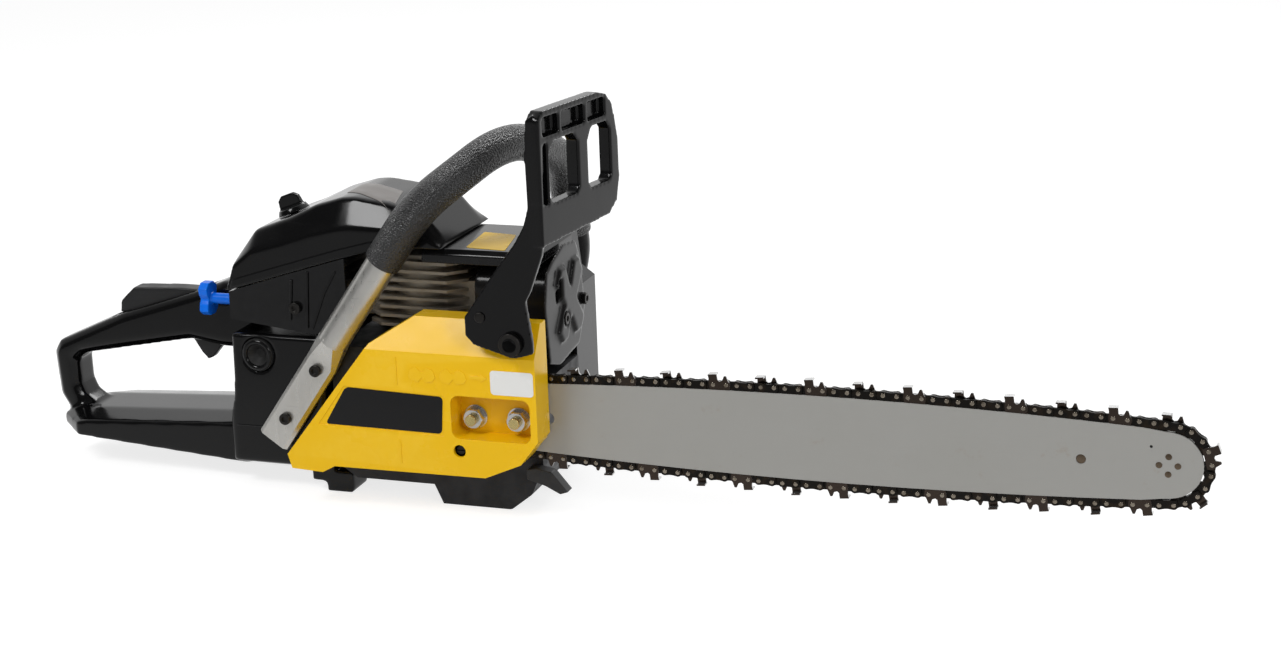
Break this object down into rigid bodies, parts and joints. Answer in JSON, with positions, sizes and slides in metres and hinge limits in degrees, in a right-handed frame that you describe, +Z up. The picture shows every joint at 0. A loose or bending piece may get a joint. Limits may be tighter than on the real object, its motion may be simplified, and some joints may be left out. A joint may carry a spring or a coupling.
{
  "type": "petrol chainsaw",
  "caption": "Petrol chainsaw with an 18 inch guide bar, saw chain, bent tube front handle, rear handle over a fuel tank, hand guard and pull starter.",
  "frame": {"origin": "centre of the flat face below the oil tank, on which the saw rests", "axes": "+X forward along the guide bar, +Z up, the clutch cover and the bar on the -Y side"},
  "size_m": [0.8678, 0.2033, 0.292],
  "materials": {
    "cast_magnesium": "satin",
    "cast_aluminium": "rough",
    "machined_aluminium": "satin",
    "ground_steel": "polished",
    "forged_steel": "satin",
    "bearing_steel": "polished",
    "coil_black": "matte",
    "plug_ceramic": "gloss",
    "lead_rubber": "matte",
    "clutch_sinter": "rough",
    "spring_steel": "satin",
    "drum_steel": "satin",
    "pump_plastic": "matte",
    "yellow_plastic": "gloss",
    "yellow_zinc": "satin",
    "zinc_steel": "satin",
    "bar_steel": "satin",
    "chain_black": "satin",
    "chain_chrome": "polished",
    "chain_rivet": "polished",
    "black_plastic": "satin",
    "black_gloss": "gloss",
    "muffler_steel": "gloss",
    "filter_felt": "matte",
    "brass_plate": "satin",
    "black_rubber": "matte",
    "blue_plastic": "gloss",
    "red_plastic": "gloss",
    "handle_aluminium": "satin",
    "grip_rubber": "matte",
    "black_screw": "satin",
    "rope_cord": "matte"
  },
  "bodies": {
    "engine": {"crankcase_right": "cast_magnesium", "crankcase_left": "cast_magnesium", "cylinder": "cast_aluminium", "crank_bearings": "bearing_steel", "ignition_coil": "coil_black", "spark_plug": "plug_ceramic", "spark_plug_lead": "lead_rubber", "clutch_drum": "drum_steel", "oil_pump": "pump_plastic", "brake_band": "spring_steel", "clutch_cover": "yellow_plastic", "bar_studs": "yellow_zinc", "bar_nuts": "zinc_steel", "tension_pin": "zinc_steel", "guide_bar": "bar_steel", "nose_sprocket": "ground_steel", "chain_drive_links": "chain_black", "chain_tie_straps": "chain_black", "chain_cutters": "chain_chrome", "chain_rivets": "chain_rivet", "chain_catcher": "black_plastic", "muffler": "muffler_steel", "cylinder_cover": "black_gloss", "filter_cover": "black_gloss", "air_filter": "filter_felt", "air_box": "black_gloss", "carburettor": "cast_aluminium", "intake_boot": "black_rubber", "rear_handle": "black_gloss", "isolators": "black_rubber", "front_handle_tube": "handle_aluminium", "front_handle_grip": "grip_rubber", "case_screws": "black_screw", "guard_pivot_bolt": "black_screw", "starter_housing": "black_gloss", "recoil_spring": "spring_steel", "starter_rope": "rope_cord"},
    "crank": {"crankshaft": "ground_steel", "flywheel": "machined_aluminium", "clutch_hub": "forged_steel", "clutch_shoes": "clutch_sinter", "clutch_spring": "spring_steel"},
    "piston_group": {"piston": "machined_aluminium", "piston_rings": "ground_steel", "wrist_pin": "ground_steel", "connecting_rod": "forged_steel"},
    "guard": {"hand_guard": "black_gloss"},
    "trigger": {"throttle_trigger": "black_plastic"},
    "throttle_butterfly": {"throttle_valve": "brass_plate"},
    "throttle_link": {"throttle_rod": "zinc_steel"},
    "lock": {"lock_lever": "black_plastic"},
    "choke": {"choke_knob": "blue_plastic"},
    "choke_butterfly": {"choke_valve": "brass_plate"},
    "switch": {"stop_switch": "red_plastic"},
    "starter_handle": {"starter_grip": "black_plastic"},
    "pulley": {"starter_pulley": "pump_plastic"},
    "fuel_filler_cap": {"fuel_cap": "black_plastic"},
    "oil_filler_cap": {"oil_cap": "black_plastic"},
    "filter_knob": {"cover_knob": "black_plastic"},
    "tensioner": {"tension_screw": "zinc_steel"}
  },
  "joints": [
    {"name": "crank_turn", "type": "hinge", "parent": "engine", "child": "crank", "pos_m": [-0.046, 0, 0.072], "axis": [0, 1, 0], "continuous": true},
    {"name": "piston_travel", "type": "slide", "parent": "engine", "child": "piston_group", "axis": [0, 0, 1], "range_m": [0, 0.032]},
    {"name": "guard_brake", "type": "hinge", "parent": "engine", "child": "guard", "pos_m": [0.047, -0.08, 0.134], "axis": [0, 1, 0], "range_deg": [0, 15]},
    {"name": "trigger_pull", "type": "hinge", "parent": "engine", "child": "trigger", "pos_m": [-0.217, 0.005, 0.106], "axis": [0, 1, 0], "range_deg": [0, 20], "stiffness_Nm_per_rad": 0.25, "springref_deg": -11.46},
    {"name": "throttle_turn", "type": "hinge", "parent": "engine", "child": "throttle_butterfly", "pos_m": [-0.10904, 0, 0.142], "axis": [0, -1, 0], "range_deg": [0, 75]},
    {"name": "throttle_pull", "type": "slide", "parent": "engine", "child": "throttle_link", "axis": [1, 0, 0], "range_m": [0, 0.00985]},
    {"name": "lock_press", "type": "hinge", "parent": "engine", "child": "lock", "pos_m": [-0.236, 0.005, 0.121], "axis": [0, -1, 0], "range_deg": [0, 8], "stiffness_Nm_per_rad": 0.3, "springref_deg": -11.46},
    {"name": "choke_pull", "type": "slide", "parent": "engine", "child": "choke", "axis": [-1, 0, 0], "range_m": [0, 0.0098]},
    {"name": "choke_turn", "type": "hinge", "parent": "engine", "child": "choke_butterfly", "pos_m": [-0.12696, 0, 0.142], "axis": [0, 1, 0], "range_deg": [0, 75]},
    {"name": "switch_rock", "type": "hinge", "parent": "engine", "child": "switch", "pos_m": [-0.182, 0.031, 0.1], "axis": [0, 1, 0], "range_deg": [-12, 12]},
    {"name": "rope_pull", "type": "slide", "parent": "engine", "child": "starter_handle", "axis": [0, 0, 1], "range_m": [0, 0.8], "stiffness_N_per_m": 12, "springref_m": -0.4},
    {"name": "pulley_turn", "type": "hinge", "parent": "engine", "child": "pulley", "pos_m": [-0.046, 0.0665, 0.072], "axis": [0, -1, 0], "range_deg": [0, 1994]},
    {"name": "fuel_cap_turn", "type": "hinge", "parent": "engine", "child": "fuel_filler_cap", "pos_m": [-0.15, 0.058, 0.058], "axis": [0, -1, 0], "range_deg": [0, 360]},
    {"name": "oil_cap_turn", "type": "hinge", "parent": "engine", "child": "oil_filler_cap", "pos_m": [0.02, 0.06, 0.021], "axis": [0, -1, 0], "range_deg": [0, 360]},
    {"name": "cover_knob_turn", "type": "hinge", "parent": "engine", "child": "filter_knob", "pos_m": [-0.15, 0, 0.19555], "axis": [-0.3489, 0, 0.9372], "continuous": true},
    {"name": "tension_turn", "type": "hinge", "parent": "engine", "child": "tensioner", "pos_m": [0.002, -0.06, 0.052], "axis": [0, 1, 0], "continuous": true}
  ],
  "couplings": [
    {"joint": "throttle_turn", "follows": "trigger_pull", "ratio": 3.74},
    {"joint": "throttle_pull", "follows": "trigger_pull", "m_per_rad": 0.028},
    {"joint": "choke_turn", "follows": "choke_pull", "rad_per_m": 133},
    {"joint": "pulley_turn", "follows": "rope_pull", "rad_per_m": 43.4}
  ]
}
